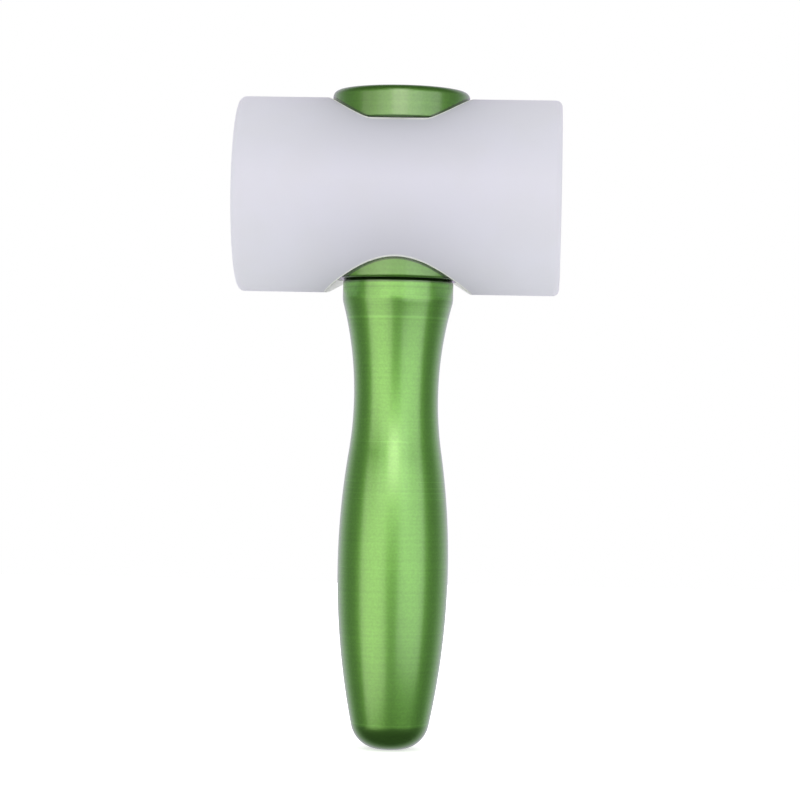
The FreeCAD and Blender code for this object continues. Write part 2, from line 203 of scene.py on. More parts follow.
def make_grip_outline():
    """The grip's radius at a height: butt rounding, belly arc, then neck arc."""
    sockets = [(name, FLOAT, 0.0) for name in ["Height"] + GRIP_SIZES]
    bench, given, result = new_group("grip_outline", "GeometryNodeTree", sockets, [("Radius", FLOAT)])
    do = bench.math

    def chord(arc, level):
        """Half the width of a circle at a distance from its middle."""
        squared = do("SUBTRACT", do("MULTIPLY", arc, arc), do("MULTIPLY", level, level))
        return do("SQRT", do("MAXIMUM", squared, 0.0))

    height = given["Height"]
    butt_arc = chord(given["Butt Radius"], do("SUBTRACT", given["Butt Radius"], height))
    butt = do("ADD", given["Butt Flat"], butt_arc)
    belly_arc = chord(given["Belly Arc"], do("SUBTRACT", height, given["Belly Height"]))
    belly = do("ADD", do("SUBTRACT", given["Belly Radius"], given["Belly Arc"]), belly_arc)
    neck_arc = chord(given["Neck Arc"], do("SUBTRACT", height, given["Neck Height"]))
    neck = do("SUBTRACT", do("ADD", given["Neck Radius"], given["Neck Arc"]), neck_arc)
    switch = {"False": neck, "True": belly, "Switch": do("LESS_THAN", height, given["Blend Height"])}
    upper = bench.add("GeometryNodeSwitch", switch, input_type="FLOAT").outputs[0]
    switch = {"False": upper, "True": butt, "Switch": do("LESS_THAN", height, given["Butt Top"])}
    bench.feed(result["Radius"], bench.add("GeometryNodeSwitch", switch, input_type="FLOAT").outputs[0])
    return bench.tree


def dressed(bench, mesh, finish):
    """Makes a mesh's copies real and gives it its finish."""
    real = bench.add("GeometryNodeRealizeInstances", {"Geometry": mesh}).outputs[0]
    return bench.add("GeometryNodeSetMaterial", {"Geometry": real, "Material": finish}).outputs[0]


def make_turning():
    """Turns a row of points, each a radius along X and a height, round the Z axis."""
    bench, given, result = new_group("turning", "GeometryNodeTree", [
        ("Outline", MESH, None),
        ("Divisions", WHOLE, DIVISIONS),
        ("Crease Angle", FLOAT, CREASE_ANGLE),
        ("Finish", MATERIAL, None),
    ], [("Piece", MESH)])
    size = bench.add("GeometryNodeAttributeDomainSize", {"Geometry": given["Outline"]}, component="MESH")
    count = size.outputs["Point Count"]
    columns = bench.math("ADD", given["Divisions"], 1.0)
    grid = bench.add("GeometryNodeMeshGrid", {"Vertices X": columns, "Vertices Y": count})
    index = bench.add("GeometryNodeInputIndex").outputs[0]
    column = bench.math("FLOOR", bench.math("DIVIDE", bench.math("ADD", index, 0.5), count))
    row = bench.math("SUBTRACT", index, bench.math("MULTIPLY", column, count))
    sampled = bench.add("GeometryNodeSampleIndex", {
        "Geometry": given["Outline"],
        "Value": bench.add("GeometryNodeInputPosition").outputs[0],
        "Index": row,
    }, data_type="FLOAT_VECTOR").outputs[0]
    angle = bench.math("MULTIPLY", bench.math("DIVIDE", column, given["Divisions"]), math.tau)
    turned = bench.add("ShaderNodeVectorRotate", {
        "Vector": sampled, "Angle": angle}, rotation_type="Z_AXIS").outputs[0]
    placed = bench.add("GeometryNodeSetPosition", {
        "Geometry": grid.outputs["Mesh"], "Position": turned}).outputs[0]
    closed = bench.add("GeometryNodeMergeByDistance", {
        "Geometry": placed, "Distance": TURNED_MERGE * MM}).outputs[0]
    bend = bench.add("GeometryNodeInputMeshEdgeAngle").outputs["Unsigned Angle"]
    smooth = bench.math("LESS_THAN", bend, given["Crease Angle"])
    shaded = bench.add("GeometryNodeSetShadeSmooth", {
        "Geometry": closed, "Shade Smooth": smooth}, domain="EDGE").outputs[0]
    bench.feed(result["Piece"], dressed(bench, shaded, given["Finish"]))
    return bench.tree


def make_handle_tree(turning, outline):
    """Gives the grip's points their radii by the outline's rule, then turns them."""
    sockets = [("Outline", MESH, None)]
    sockets += [(name, FLOAT, 0.0) for name in GRIP_SIZES + ["Collar Foot"]]
    sockets += [("Divisions", WHOLE, DIVISIONS), ("Crease Angle", FLOAT, CREASE_ANGLE)]
    sockets += [("Finish", MATERIAL, None)]
    bench, given, result = new_group("handle_turning", "GeometryNodeTree", sockets, [("Piece", MESH)])
    split = bench.split(bench.add("GeometryNodeInputPosition").outputs[0])
    rule = bench.add("GeometryNodeGroup", {"Height": split["Z"]}, node_tree=outline)
    for name in GRIP_SIZES:
        bench.feed(rule.inputs[name], given[name])
    moved = bench.add("ShaderNodeCombineXYZ", {"X": rule.outputs["Radius"], "Z": split["Z"]}).outputs[0]
    # The grip's own points wait outside the belly and below the collar
    outside = bench.math("GREATER_THAN", split["X"], given["Belly Radius"])
    below = bench.math("LESS_THAN", split["Z"], given["Collar Foot"])
    waiting = bench.math("MULTIPLY", outside, below)
    shaped = bench.add("GeometryNodeSetPosition", {
        "Geometry": given["Outline"], "Selection": waiting, "Position": moved})
    lathe = bench.add("GeometryNodeGroup", {"Outline": shaped.outputs[0]}, node_tree=turning)
    for name in ("Divisions", "Crease Angle", "Finish"):
        bench.feed(lathe.inputs[name], given[name])
    bench.feed(result["Piece"], lathe.outputs["Piece"])
    return bench.tree


def new_piece(name, points=(), faces=()):
    """An object at the origin, its mesh given in millimetres."""
    mesh = bpy.data.meshes.new(name)
    mesh.from_pydata([Vector(point) * MM for point in points], [], faces)
    piece = bpy.data.objects.new(name, mesh)
    bpy.context.scene.collection.objects.link(piece)
    return piece


def run_tree(piece, tree, settings):
    """Runs a tree on a piece with named settings and keeps the plain mesh that comes out."""
    modifier = piece.modifiers.new(tree.name, "NODES")
    modifier.node_group = tree
    sockets = {item.name: item.identifier for item in tree.interface.items_tree if item.in_out == "INPUT"}
    for name, value in settings.items():
        modifier[sockets[name]] = value
    depsgraph = bpy.context.evaluated_depsgraph_get()
    settled = bpy.data.meshes.new_from_object(piece.evaluated_get(depsgraph))
    piece.modifiers.clear()
    spare = piece.data
    piece.data = settled
    bpy.data.meshes.remove(spare)
    settled.name = piece.name


def arc(centre, radius, start, stop, steps):
    """Points of an arc in the outline's plane, its two turns in degrees."""
    turns = [math.radians(start + (stop - start) * step / steps) for step in range(steps + 1)]
    return [(centre[0] + radius * math.cos(turn), centre[1] + radius * math.sin(turn)) for turn in turns]


def spaced(start, stop, steps):
    """Evenly spaced values from start to stop, both ends kept."""
    return [start + (stop - start) * step / steps for step in range(steps + 1)]


def finished(piece, slot_name, *nodes):
    """Hands a finished piece over: what it stands for and what it rides on. Its slot_name is not used."""
    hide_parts(*nodes)
    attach(piece, "root")


# Surface effects shared by the finishes
NOISE_LOW = 0.3
NOISE_HIGH = 0.7


def make_turned_grain():
    """Fine lines round the Z axis left by the lathe, and the matte grain over them."""
    bench, given, result = new_group("turned_grain", "ShaderNodeTree", [
        ("Vector", VECTOR, None),
        ("Line Density", FLOAT, 3000.0),
        ("Line Spread", FLOAT, 0.006),
        ("Line Share", FLOAT, 0.5),
        ("Streak Scale", FLOAT, 0.35),
        ("Grain Density", FLOAT, 5000.0),
        ("Speckle Density", FLOAT, 1500.0),
        ("Patch Density", FLOAT, 60.0),
    ], [("Height", FLOAT), ("Lines", FLOAT), ("Streaks", FLOAT), ("Speckle", FLOAT), ("Patches", FLOAT)])
    place = given["Vector"]
    density = given["Line Density"]
    around = bench.math("MULTIPLY", density, given["Line Spread"])
    scale = bench.add("ShaderNodeCombineXYZ", {"X": around, "Y": around, "Z": density}).outputs[0]
    stretched = bench.add("ShaderNodeVectorMath", {0: place, 1: scale}, operation="MULTIPLY").outputs[0]
    lines = bench.noise(stretched, scale=1.0, detail=3.0, roughness=0.6)
    grain = bench.noise(place, given["Grain Density"], detail=2.0)
    bench.feed(result["Height"], bench.mix(given["Line Share"], grain, lines))
    bench.feed(result["Lines"], lines)
    bench.feed(result["Streaks"], bench.noise(stretched, given["Streak Scale"], detail=2.0))
    bench.feed(result["Speckle"], bench.noise(place, given["Speckle Density"], detail=2.0))
    bench.feed(result["Patches"], bench.noise(place, given["Patch Density"], detail=3.0))
    return bench.tree


def make_witness_ring():
    """A faint ring where a tool paused, at one height, broken up round the piece."""
    bench, given, result = new_group("witness_ring", "ShaderNodeTree", [
        ("Vector", VECTOR, None),
        ("Level", FLOAT, 0.0),
        ("Width", FLOAT, 0.0002),
        ("Breaks", FLOAT, 0.4),
        ("Break Density", FLOAT, 70.0),
        ("Break Fade", FLOAT, 0.12),
    ], [("Mask", FLOAT)])
    height = bench.split(given["Vector"])["Z"]
    away = bench.math("ABSOLUTE", bench.math("SUBTRACT", height, given["Level"]))
    near = bench.math("SUBTRACT", 1.0, bench.math("DIVIDE", away, given["Width"]), clamp=True)
    around = bench.noise(given["Vector"], given["Break Density"], detail=1.0)
    whole = bench.math("ADD", given["Breaks"], given["Break Fade"])
    broken = bench.ramp(around, given["Breaks"], whole)
    bench.feed(result["Mask"], bench.math("MULTIPLY", near, broken))
    return bench.tree


def make_pocket_shade():
    """Masks of painted shade, strongest at a block's two round pockets and fading away from them through
    its depth, and of a painted glow along the pockets' rims.
    """
    bench, given, result = new_group("pocket_shade", "ShaderNodeTree", [
        ("Vector", VECTOR, None),
        ("Radius", FLOAT, 0.02),
        ("Upper Floor", FLOAT, 0.0),
        ("Lower Floor", FLOAT, 0.0),
        ("Fade", FLOAT, 0.01),
        ("Rim Width", FLOAT, 0.0005),
    ], [("Mask", FLOAT), ("Rim", FLOAT)])
    split = bench.split(given["Vector"])
    out = bench.long_side(split["X"], split["Y"])
    beside = bench.math("MAXIMUM", bench.math("SUBTRACT", out, given["Radius"]), 0.0)
    under = bench.math("MAXIMUM", bench.math("SUBTRACT", given["Upper Floor"], split["Z"]), 0.0)
    over = bench.math("MAXIMUM", bench.math("SUBTRACT", split["Z"], given["Lower Floor"]), 0.0)
    away = bench.long_side(beside, bench.math("MINIMUM", under, over))
    depth = bench.math("DIVIDE", away, given["Fade"])
    bench.feed(result["Mask"], bench.math("EXPONENT", bench.math("MULTIPLY", depth, -1.0)))
    # The rims' painted glow
    half_width = bench.math("MULTIPLY", given["Rim Width"], 0.5)
    bench.feed(result["Rim"], bench.ramp(away, half_width, given["Rim Width"], 1.0, 0.0))
    return bench.tree


def make_joint_shade():
    """Painted shade: 1 in the open, and darker close to a seat or to the edge of the pocket that a disc
    dips into.
    """
    bench, given, result = new_group("joint_shade", "ShaderNodeTree", [
        ("Vector", VECTOR, None),
        ("Bar Height", FLOAT, 0.0),
        ("Bar Radius", FLOAT, 0.0),
        ("Spread", FLOAT, 1.0),
        ("Rim Width", FLOAT, 0.001),
        ("Upper Seat", FLOAT, 0.0),
        ("Upper Width", FLOAT, 0.001),
        ("Lower Seat", FLOAT, 0.0),
        ("Lower Width", FLOAT, 0.001),
        ("Dark Share", FLOAT, 0.4),
        ("Darkest", FLOAT, 0.4),
    ], [("Tone", FLOAT)])
    split = bench.split(given["Vector"])
    across = bench.math("MULTIPLY", split["Y"], given["Spread"])
    along = bench.math("SUBTRACT", split["Z"], given["Bar Height"])
    outside = bench.math("SUBTRACT", bench.long_side(across, along), given["Bar Radius"])
    over = bench.math("ABSOLUTE", bench.math("SUBTRACT", split["Z"], given["Upper Seat"]))
    under = bench.math("ABSOLUTE", bench.math("SUBTRACT", split["Z"], given["Lower Seat"]))
    at_rim = bench.math("DIVIDE", outside, given["Rim Width"])
    at_upper = bench.math("DIVIDE", over, given["Upper Width"])
    at_lower = bench.math("DIVIDE", under, given["Lower Width"])
    away = bench.math("MINIMUM", at_rim, bench.math("MINIMUM", at_upper, at_lower))
    bench.feed(result["Tone"], bench.ramp(away, given["Dark Share"], 1.0, given["Darkest"], 1.0))
    return bench.tree


TURNED_GRAIN = make_turned_grain()
WITNESS_RING = make_witness_ring()
POCKET_SHADE = make_pocket_shade()
JOINT_SHADE = make_joint_shade()


def new_material(name):
    """A material, a bench on its tree, and its shader."""
    material = bpy.data.materials.new(name)
    material.use_nodes = True
    bench = Bench(material.node_tree)
    return material, bench, material.node_tree.nodes["Principled BSDF"]


def place_coordinates(bench):
    """Places on the piece itself, to which its patterns hold."""
    return bench.add("ShaderNodeTexCoord").outputs["Object"]


def opaque(colour, tone=1.0):
    """A colour for a socket, at a tone of its own."""
    return (*[channel * tone for channel in colour], 1.0)


# Anodised aluminium, for the handle and both discs
GREEN = (0.19, 0.57, 0.062)
DISC_GREEN = (0.145, 0.415, 0.05)
METAL_SHARE = 0.88
HANDLE_ROUGHNESS = 0.34
DISC_ROUGHNESS = 0.47
LINE_ROUGHNESS = 0.05
OXIDE_IOR = 1.76
COAT_SHARE = 1.0
COAT_ROUGHNESS = 0.22
LINE_DEPTH = 0.006
PATCH_TONE = 0.82
STREAK_SHARE = 0.08
COLLAR_DIPS = 0.08
COLLAR_RISES = 0.06
HANDLE_SPECKLE = 0.065
DISC_SPECKLE = 0.06
RING_SHARE = 0.35
RING_DEPTH = 0.6
RING_GAIN = 1.5
RING_GREY = 0.04

# How far the painted shade at the joint, the seats and the pockets' rims reaches, in millimetres
RIM_SHADE_WIDTH = 0.45
SEAT_SHADE_WIDTH = 0.9
HANDLE_JOINT_WIDTH = 1.5
DISC_JOINT_WIDTH = 0.25
JOINT_SHADE_TONE = 0.3

# The butt is smoother and darker, up to a break between these heights
BUTT_BREAK = (BUTT_TOP - 0.25, BUTT_TOP + 0.65)
BUTT_TONE = 0.75
BUTT_ROUGHNESS = 0.28
BUTT_METAL_SHARE = 0.95
BUTT_COAT_SHARE = 0.9
BUTT_GRAIN_SHARE = 0.06

# Faint rings on the handle: height, half width and how far the ring is broken up
HANDLE_RINGS = [
    (132.5, 0.60, 0.28),
    (101.0, 0.15, 0.62),
    (94.5, 0.15, 0.48),
    (82.3, 0.12, 0.50),
    (80.4, 0.12, 0.54),
    (78.9, 0.12, 0.52),
    (77.1, 0.12, 0.50),
    (56.1, 0.15, 0.46),
    (8.2, 0.14, 0.30),
]


def place_rings(bench, place, rings):
    """1 on the rings and 0 between them."""
    marked = 0.0
    for level, width, breaks in rings:
        ring = bench.add("ShaderNodeGroup", {
            "Vector": place,
            "Level": level * MM,
            "Width": width * MM,
            "Breaks": breaks,
        }, node_tree=WITNESS_RING)
        marked = bench.math("MAXIMUM", marked, ring.outputs["Mask"])
    return marked


def place_joint_shade(bench, place, bar_radius, joint_width):
    """The painted shade near the seats and, with a bar_radius, at the rim of the head's pocket."""
    return bench.add("ShaderNodeGroup", {
        "Vector": place,
        "Bar Height": HEAD_AXIS * MM,
        "Bar Radius": bar_radius * MM,
        "Spread": POCKET_RADIUS / DISC_RADIUS,
        "Rim Width": RIM_SHADE_WIDTH * MM,
        "Upper Seat": (HEAD_AXIS + UPPER_FLOOR) * MM,
        "Upper Width": SEAT_SHADE_WIDTH * MM,
        "Lower Seat": (GRIP_LENGTH + SEAT_BOSS_HEIGHT / 2) * MM,
        "Lower Width": joint_width * MM,
        "Darkest": JOINT_SHADE_TONE,
    }, node_tree=JOINT_SHADE).outputs["Tone"]


def anodised(name, colour, roughness, speckle_share, line_share, bar_radius, joint_width,
             rings=(), is_handle=False):
    """Satin aluminium, dyed and sealed: a coloured metal under a clear oxide skin.

    The handle has stronger lines on its collar and a butt of its own. Shade is painted darker near the
    seats and, on a disc, at the rim of the head's pocket: a disc's bar_radius is the head's.
    """
    material, bench, shader = new_material(name)
    place = place_coordinates(bench)
    height = bench.split(place)["Z"]
    grain = bench.add("ShaderNodeGroup", {
        "Vector": place, "Line Share": line_share}, node_tree=TURNED_GRAIN).outputs
    marked = place_rings(bench, place, rings)

    dips = 1.0 - STREAK_SHARE
    rises = 1.0
    if is_handle:
        collar = bench.ramp(height, (COLLAR_FOOT - COLLAR_ROUNDING) * MM, COLLAR_FOOT * MM)
        dips = bench.ramp(collar, 0, 1, dips, dips - COLLAR_DIPS)
        rises = bench.ramp(collar, 0, 1, 1.0, 1.0 + COLLAR_RISES)
    streaks = bench.ramp(grain["Streaks"], NOISE_LOW, NOISE_HIGH, dips, rises)
    speckle = bench.ramp(
        grain["Speckle"], NOISE_LOW, NOISE_HIGH, 1.0 - speckle_share, 1.0 + speckle_share)
    tone = bench.math("MULTIPLY", streaks, speckle)
    # Painted shade near the seats and at the pocket's rim darkens the tone
    tone = bench.math("MULTIPLY", tone, place_joint_shade(bench, place, bar_radius, joint_width))

    patched = bench.blend(grain["Patches"], opaque(colour, PATCH_TONE), opaque(colour))
    toned = bench.add("ShaderNodeVectorMath", {0: patched, "Scale": tone}, operation="SCALE").outputs[0]
    pale = [min(1.0, channel * RING_GAIN + RING_GREY) for channel in colour]
    base = bench.blend(bench.math("MULTIPLY", marked, RING_SHARE), toned, opaque(pale))
    rough = bench.ramp(grain["Lines"], NOISE_LOW, NOISE_HIGH, roughness, roughness + LINE_ROUGHNESS)
    relief = bench.math("SUBTRACT", grain["Height"], bench.math("MULTIPLY", marked, RING_DEPTH))

    if is_handle:
        above = bench.ramp(height, BUTT_BREAK[0] * MM, BUTT_BREAK[1] * MM)
        base = bench.blend(above, opaque(colour, BUTT_TONE), base)
        rough = bench.mix(above, BUTT_ROUGHNESS, rough)
        relief = bench.math("MULTIPLY", relief, bench.ramp(above, 0, 1, BUTT_GRAIN_SHARE, 1.0))
        bench.feed(shader.inputs["Metallic"], bench.ramp(above, 0, 1, BUTT_METAL_SHARE, METAL_SHARE))
        bench.feed(shader.inputs["Coat Weight"], bench.ramp(above, 0, 1, BUTT_COAT_SHARE, COAT_SHARE))
    else:
        shader.inputs["Metallic"].default_value = METAL_SHARE
        shader.inputs["Coat Weight"].default_value = COAT_SHARE
    shader.inputs["Coat Roughness"].default_value = COAT_ROUGHNESS
    shader.inputs["Coat IOR"].default_value = OXIDE_IOR
    bump = bench.add("ShaderNodeBump", {"Strength": 1.0, "Distance": LINE_DEPTH * MM, "Height": relief})
    bench.feed(shader.inputs["Base Color"], base)
    bench.feed(shader.inputs["Roughness"], rough)
    bench.feed(shader.inputs["Normal"], bump.outputs[0])
    return material


# White nylon, for the head
HEAD_WHITE = (0.86, 0.86, 0.95)
# A lighter white, painted light for the light that comes through the thin nylon at the rims and walls
PAINTED_GLOW_WHITE = (0.93, 0.94, 0.91)
NYLON_WARMTH = (0.985, 0.985, 0.965)
NYLON_GLOW = (1.0, 0.95, 1.0)
NYLON_GRAIN = 1800.0
NYLON_CLOUDS = 45.0
CLOUD_SPAN = (0.35, 0.65)
NYLON_SMOOTHEST = 0.48
NYLON_ROUGHEST = 0.56
NYLON_IOR = 1.53
NYLON_SHINE = 0.25
NYLON_RELIEF = 0.01
NYLON_RELIEF_SHARE = 0.6
# How far the painted pocket shade fades, and how wide the painted rim glow is
POCKET_FADE = 13.0
RIM_GLOW_WIDTH = 0.8


def nylon(name, colour, pocket_shade_tone, milkiness, depth):
    """White nylon, milky and satin. Near a pocket its colour is painted darker, as shade for the light
    that goes in there and is partly lost in it, and along the rims it is painted lighter, as glow.
    """
    material, bench, shader = new_material(name)
    place = place_coordinates(bench)
    fine = bench.noise(place, NYLON_GRAIN, detail=3.0)
    cloudy = bench.ramp(bench.noise(place, NYLON_CLOUDS, detail=2.0), *CLOUD_SPAN)
    warm = [channel * share for channel, share in zip(colour, NYLON_WARMTH)]
    base = bench.blend(cloudy, opaque(warm), opaque(colour))
    shade = bench.add("ShaderNodeGroup", {
        "Vector": place,
        "Radius": POCKET_RADIUS * MM,
        "Upper Floor": (HEAD_AXIS + UPPER_FLOOR) * MM,
        "Lower Floor": (HEAD_AXIS + LOWER_FLOOR) * MM,
        "Fade": POCKET_FADE * MM,
        "Rim Width": RIM_GLOW_WIDTH * MM,
    }, node_tree=POCKET_SHADE).outputs
    # Painted shade near the pockets, then a painted glow along their rims
    base = bench.blend(shade["Mask"], base, opaque(colour, pocket_shade_tone))
    base = bench.blend(shade["Rim"], base, opaque(PAINTED_GLOW_WHITE))
    bench.feed(shader.inputs["Base Color"], base)
    rough = bench.ramp(fine, NOISE_LOW, NOISE_HIGH, NYLON_SMOOTHEST, NYLON_ROUGHEST)
    bench.feed(shader.inputs["Roughness"], rough)
    shader.inputs["Subsurface Weight"].default_value = milkiness
    shader.inputs["Subsurface Radius"].default_value = NYLON_GLOW
    shader.inputs["Subsurface Scale"].default_value = depth * MM
    shader.inputs["IOR"].default_value = NYLON_IOR
    shader.inputs["Specular IOR Level"].default_value = NYLON_SHINE
    bump = bench.add("ShaderNodeBump", {
        "Strength": NYLON_RELIEF_SHARE, "Distance": NYLON_RELIEF * MM, "Height": fine})
    bench.feed(shader.inputs["Normal"], bump.outputs[0])
    return material


# Bare and plated metal, for the pieces inside
DULL_TONE = 0.8
METAL_LINE_ROUGHNESS = 0.12
METAL_LINE_DEPTH = 0.005


def plain_metal(name, colour, roughness, line_share):
    """Bare or plated metal with the lathe's fine lines."""
    material, bench, shader = new_material(name)
    grain = bench.add("ShaderNodeGroup", {
        "Vector": place_coordinates(bench), "Line Share": line_share}, node_tree=TURNED_GRAIN).outputs
    base = bench.blend(grain["Patches"], opaque(colour, DULL_TONE), opaque(colour))
    rough = bench.ramp(
        grain["Lines"], NOISE_LOW, NOISE_HIGH, roughness, roughness + METAL_LINE_ROUGHNESS)
    bump = bench.add("ShaderNodeBump", {
        "Strength": 1.0, "Distance": METAL_LINE_DEPTH * MM, "Height": grain["Height"]})
    shader.inputs["Metallic"].default_value = 1.0
    bench.feed(shader.inputs["Base Color"], base)
    bench.feed(shader.inputs["Roughness"], rough)
    bench.feed(shader.inputs["Normal"], bump.outputs[0])
    return material


handle_green = anodised(
    "handle_green", GREEN, HANDLE_ROUGHNESS, HANDLE_SPECKLE, line_share=0.5,
    bar_radius=0, joint_width=HANDLE_JOINT_WIDTH, rings=HANDLE_RINGS, is_handle=True)
disc_green = anodised(
    "disc_green", DISC_GREEN, DISC_ROUGHNESS, DISC_SPECKLE, line_share=0.7,
    bar_radius=HEAD_RADIUS, joint_width=DISC_JOINT_WIDTH)
head_nylon = nylon("head_nylon", HEAD_WHITE, pocket_shade_tone=0.74, milkiness=0.4, depth=1.0)
# The edge and wall copies are painted lighter, as if lit by light through the thin nylon
lit_nylon_edge = nylon("lit_nylon_edge", PAINTED_GLOW_WHITE, pocket_shade_tone=1.0, milkiness=1.0, depth=12.0)
lit_nylon_wall = nylon("lit_nylon_wall", PAINTED_GLOW_WHITE, pocket_shade_tone=1.0, milkiness=1.0, depth=45.0)
bare_aluminium = plain_metal("bare_aluminium", (0.80, 0.81, 0.82), roughness=0.28, line_share=0.8)
zinc_steel = plain_metal("zinc_steel", (0.70, 0.72, 0.75), roughness=0.25, line_share=0.3)
black_steel = plain_metal("black_steel", (0.045, 0.045, 0.05), roughness=0.35, line_share=0.2)

GRIP_OUTLINE = make_grip_outline()
TURNING = make_turning()
HANDLE_TURNING = make_handle_tree(TURNING, GRIP_OUTLINE)


def upright(points):
    """Outline points, each a radius and a height, set in the XZ plane."""
    return [(radius, 0.0, height) for radius, height in points]


# How many rows of points the turned outlines have, and how far out the grip's points wait.
# The butt's own rule reaches a hair above its last row
BUTT_ROWS = 28
GRIP_ROWS = 150
FOOT_ROWS = 8
COLLAR_ROWS = 6
DISC_EDGE_ROWS = 10
DISC_SIDE_ROWS = 8
WAITING_GAP = 1.0
HAIR = 1e-4


def make_handle():
    """Turns the handle. The grip's points wait outside, at their heights, for the outline's rule."""
    crowded = [BUTT_TOP * (1 - math.cos(math.radians(turn))) for turn in spaced(0, 90, BUTT_ROWS)]
    even = spaced(BUTT_TOP, FOOT_START, GRIP_ROWS)[1:-1]
    waiting = HANDLE_RADIUS + WAITING_GAP
    points = [(0.0, 0.0)]
    points += [(waiting, height) for height in crowded + even]
    points += arc((HANDLE_RADIUS - COLLAR_ROUNDING, FOOT_TOP), COLLAR_ROUNDING, FOOT_TURN, 0, FOOT_ROWS)
    shoulder = GRIP_LENGTH - SHOULDER_BREAK
    points += [(HANDLE_RADIUS, height) for height in spaced(FOOT_TOP, shoulder, COLLAR_ROWS)[1:]]
    points += [(HANDLE_RADIUS - SHOULDER_BREAK, GRIP_LENGTH)]
    points += [(TAPPED_RADIUS + HOLE_BREAK, GRIP_LENGTH), (TAPPED_RADIUS, GRIP_LENGTH - HOLE_BREAK)]
    points += [(TAPPED_RADIUS, TAPPED_BOTTOM), (0.0, TAPPED_BOTTOM - DRILL_POINT)]
    piece = new_piece("turned_handle", upright(points))
    run_tree(piece, HANDLE_TURNING, {
        "Butt Radius": BUTT_RADIUS * MM,
        "Butt Flat": BUTT_FLAT * MM,
        "Butt Top": (BUTT_TOP + HAIR) * MM,
        "Belly Height": BELLY_HEIGHT * MM,
        "Belly Arc": BELLY_ARC * MM,
        "Belly Radius": HANDLE_RADIUS * MM,
        "Blend Height": BLEND_HEIGHT * MM,
        "Neck Height": NECK_HEIGHT * MM,
        "Neck Arc": NECK_ARC * MM,
        "Neck Radius": NECK_RADIUS * MM,
        "Collar Foot": COLLAR_FOOT * MM,
        "Divisions": DIVISIONS,
        "Crease Angle": CREASE_ANGLE,
        "Finish": handle_green,
    })
    finished(piece, "handle_green", "handle")


def make_turned_disc(name, points, node):
    """A green disc turned from its outline."""
    piece = new_piece(name, upright(points))
    run_tree(piece, TURNING, {
        "Divisions": DIVISIONS, "Crease Angle": CREASE_ANGLE, "Finish": disc_green})
    finished(piece, "disc_green", node)


def make_lower_disc():
    """The disc on the handle's shoulder, with its boss and the groove round it."""
    base = GRIP_LENGTH
    top = base + DISC_HEIGHT
    face = base + SEAT_BOSS_HEIGHT
    rounding = LOWER_EDGE_RADIUS
    points = [(BOLT_HOLE_RADIUS, base + HOLE_BREAK), (BOLT_HOLE_RADIUS + HOLE_BREAK, base)]
    points += [(SEAT_BOSS_RADIUS, base), (SEAT_BOSS_RADIUS - SEAT_UNDERCUT, face)]
    points += arc((DISC_RADIUS - rounding, face + rounding), rounding, -90, 0, DISC_EDGE_ROWS)
    side = spaced(face + rounding, top - DISC_BACK_CHAMFER, DISC_SIDE_ROWS)[1:]
    points += [(DISC_RADIUS, height) for height in side]
    points += [(DISC_RADIUS - DISC_BACK_CHAMFER, top)]
    points += [(BOLT_HOLE_RADIUS + HOLE_BREAK, top), (BOLT_HOLE_RADIUS, top - HOLE_BREAK)]
    points += [points[0]]
    make_turned_disc("turned_lower_disc", points, "lower_disc")


def make_top_cap():
    """The disc on top of the head, with its spigot below and the bolt's counterbore above."""
    disc_base = CAP_BASE + SPIGOT_LENGTH
    top = disc_base + DISC_HEIGHT
    floor = CAP_BASE + COUNTERBORE_FLOOR
    rounding = CAP_EDGE_RADIUS
    points = [(BOLT_HOLE_RADIUS, CAP_BASE)]
    points += [(CORE_RADIUS - SPIGOT_CHAMFER, CAP_BASE), (CORE_RADIUS, CAP_BASE + SPIGOT_CHAMFER)]
    points += [(CORE_RADIUS, disc_base), (DISC_RADIUS - DISC_BACK_CHAMFER, disc_base)]
    side = spaced(disc_base + DISC_BACK_CHAMFER, top - rounding, DISC_SIDE_ROWS)[:-1]
    points += [(DISC_RADIUS, height) for height in side]
    points += arc((DISC_RADIUS - rounding, top - rounding), rounding, 0, 90, DISC_EDGE_ROWS)
    points += [(COUNTERBORE_RADIUS + HOLE_BREAK, top), (COUNTERBORE_RADIUS, top - HOLE_BREAK)]
    points += [(COUNTERBORE_RADIUS, floor), (BOLT_HOLE_RADIUS, floor), (BOLT_HOLE_RADIUS, CAP_BASE)]
    make_turned_disc("turned_top_cap", points, "top_cap")


# Head: a quarter of the surface in strips of points, mirrored into the whole.
# How many rows of points the strips have, and how many steps each row has in its parts
ARC_ROWS = 44
EDGE_ROWS = 20
SIDE_ROWS = 36
RIM_STEPS = 5
BAR_STEPS = 36
CORNER_STEPS = 8
FACE_STEPS = 8
FLOOR_STEPS = 8
UPPER_WALL_STEPS = 6
LOWER_WALL_STEPS = 8
BORE_STEPS = 10


def bent(start, corner, stop):
    """Points of a small rounding from start to stop that leans towards the corner."""
    shares = spaced(0, 1, RIM_STEPS)
    start, corner, stop = Vector(start), Vector(corner), Vector(stop)
    return [start * (1 - s) ** 2 + corner * 2 * s * (1 - s) + stop * s * s for s in shares]


def on_bar(across, y, side=1):
    """A point of the bar's curved side, above the axis or below it."""
    return (across, y, side * math.sqrt(max(0.0, HEAD_RADIUS ** 2 - y * y)))


def on_round(radius, turn, height):
    """A point of a circle round the handle's axis."""
    return (radius * math.cos(turn), radius * math.sin(turn), height)


